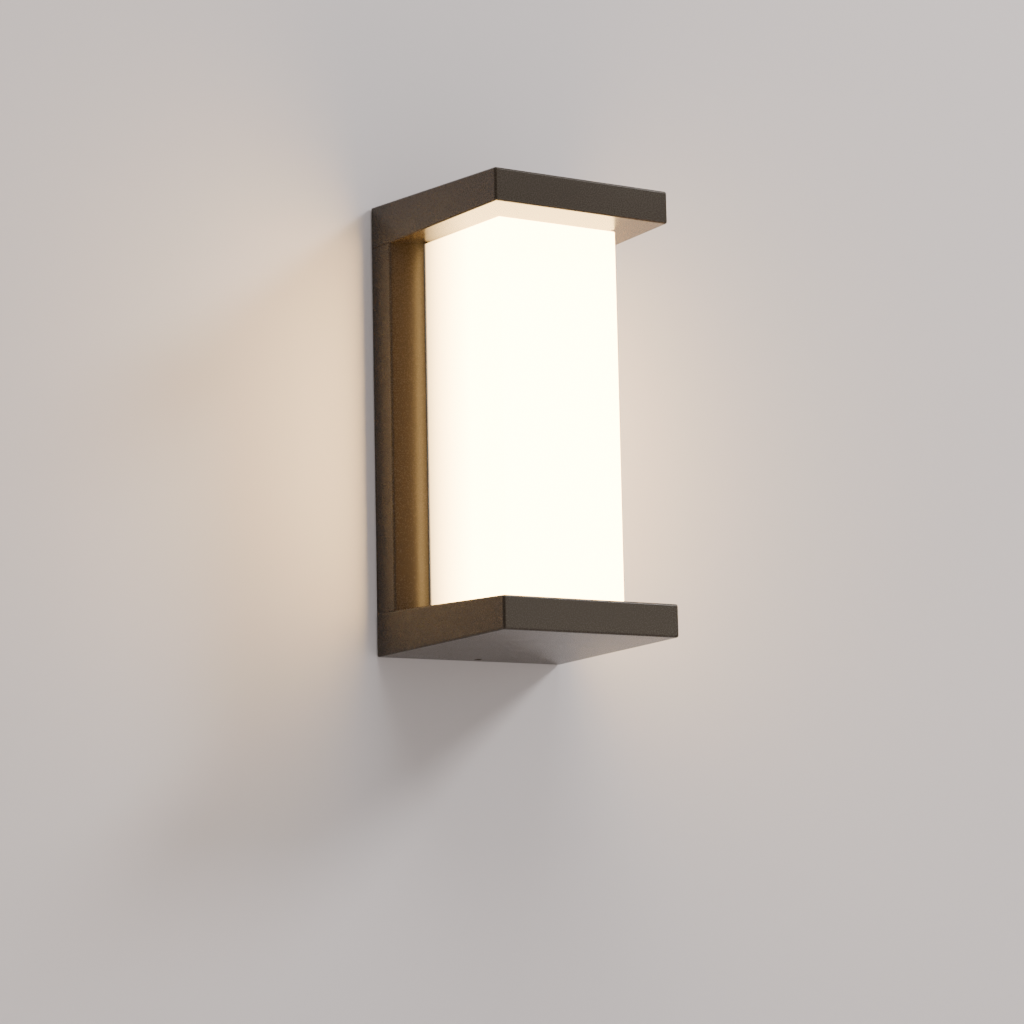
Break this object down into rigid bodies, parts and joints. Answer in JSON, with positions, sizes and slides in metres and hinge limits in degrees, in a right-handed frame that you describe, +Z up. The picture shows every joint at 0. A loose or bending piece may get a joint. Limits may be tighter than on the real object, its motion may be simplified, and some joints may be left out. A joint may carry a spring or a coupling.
{
  "type": "outdoor wall lantern",
  "caption": "C-shaped cast body with a square opal diffuser between its arms, sealed at the rear and locked to a folded steel wall bracket.",
  "frame": {"origin": "middle of the wall screw pattern, in the plane of the wall", "axes": "-Y out from the wall, +Z up, +X to the right as seen from in front"},
  "size_m": [0.12, 0.12, 0.25],
  "materials": {
    "bronze_powder_coat": "satin",
    "opal": "satin",
    "silicone": "matt",
    "stainless": "satin",
    "white_film": "matt",
    "grey_pad": "matt",
    "white_board": "satin",
    "led_phosphor": "gloss",
    "white_nylon": "satin",
    "lead_insulation": "satin",
    "mains_insulation": "satin",
    "earth_insulation": "satin",
    "black_rubber": "matt",
    "driver_plastic": "matt",
    "green_board": "satin",
    "ferrite_yellow": "satin",
    "capacitor_sleeve": "gloss",
    "brass": "satin",
    "foam": "matt",
    "zinc_plate": "satin",
    "cover_coat": "satin",
    "blackened_steel": "satin"
  },
  "bodies": {
    "bracket": {"wall_bracket": "zinc_plate"},
    "lantern": {"housing": "bronze_powder_coat", "diffuser": "opal", "diffuser_seal": "silicone", "diffuser_screws": "stainless", "reflector_sheet": "white_film", "thermal_pad": "grey_pad", "led_board": "white_board", "leds": "led_phosphor", "led_board_screws": "stainless", "led_connector": "white_nylon", "led_leads": "lead_insulation", "lead_grommet": "black_rubber", "driver_case": "driver_plastic", "driver_lid": "driver_plastic", "driver_board": "green_board", "driver_transformer": "ferrite_yellow", "driver_capacitors": "capacitor_sleeve", "driver_screws": "stainless", "terminal_block": "white_nylon", "terminal_screws": "brass", "terminal_block_screw": "stainless", "mains_leads": "mains_insulation", "earth_lead": "earth_insulation", "earth_screw": "brass", "cable_clamp": "white_nylon", "clamp_screws": "stainless", "cable_grommet": "black_rubber", "rear_cover": "cover_coat", "rear_cover_seal": "silicone", "rear_cover_screws": "stainless", "wall_foam": "foam"},
    "upper_lock": {"lock_screw_top": "blackened_steel"},
    "lower_lock": {"lock_screw_bottom": "blackened_steel"}
  },
  "joints": [
    {"name": "lantern_pull_off", "type": "slide", "parent": "bracket", "child": "lantern", "axis": [0, -1, 0], "range_m": [0, 0.03]},
    {"name": "upper_lock_travel", "type": "slide", "parent": "lantern", "child": "upper_lock", "axis": [0, 0, 1], "range_m": [0, 0.004]},
    {"name": "lower_lock_travel", "type": "slide", "parent": "lantern", "child": "lower_lock", "axis": [0, 0, -1], "range_m": [0, 0.004]}
  ]
}
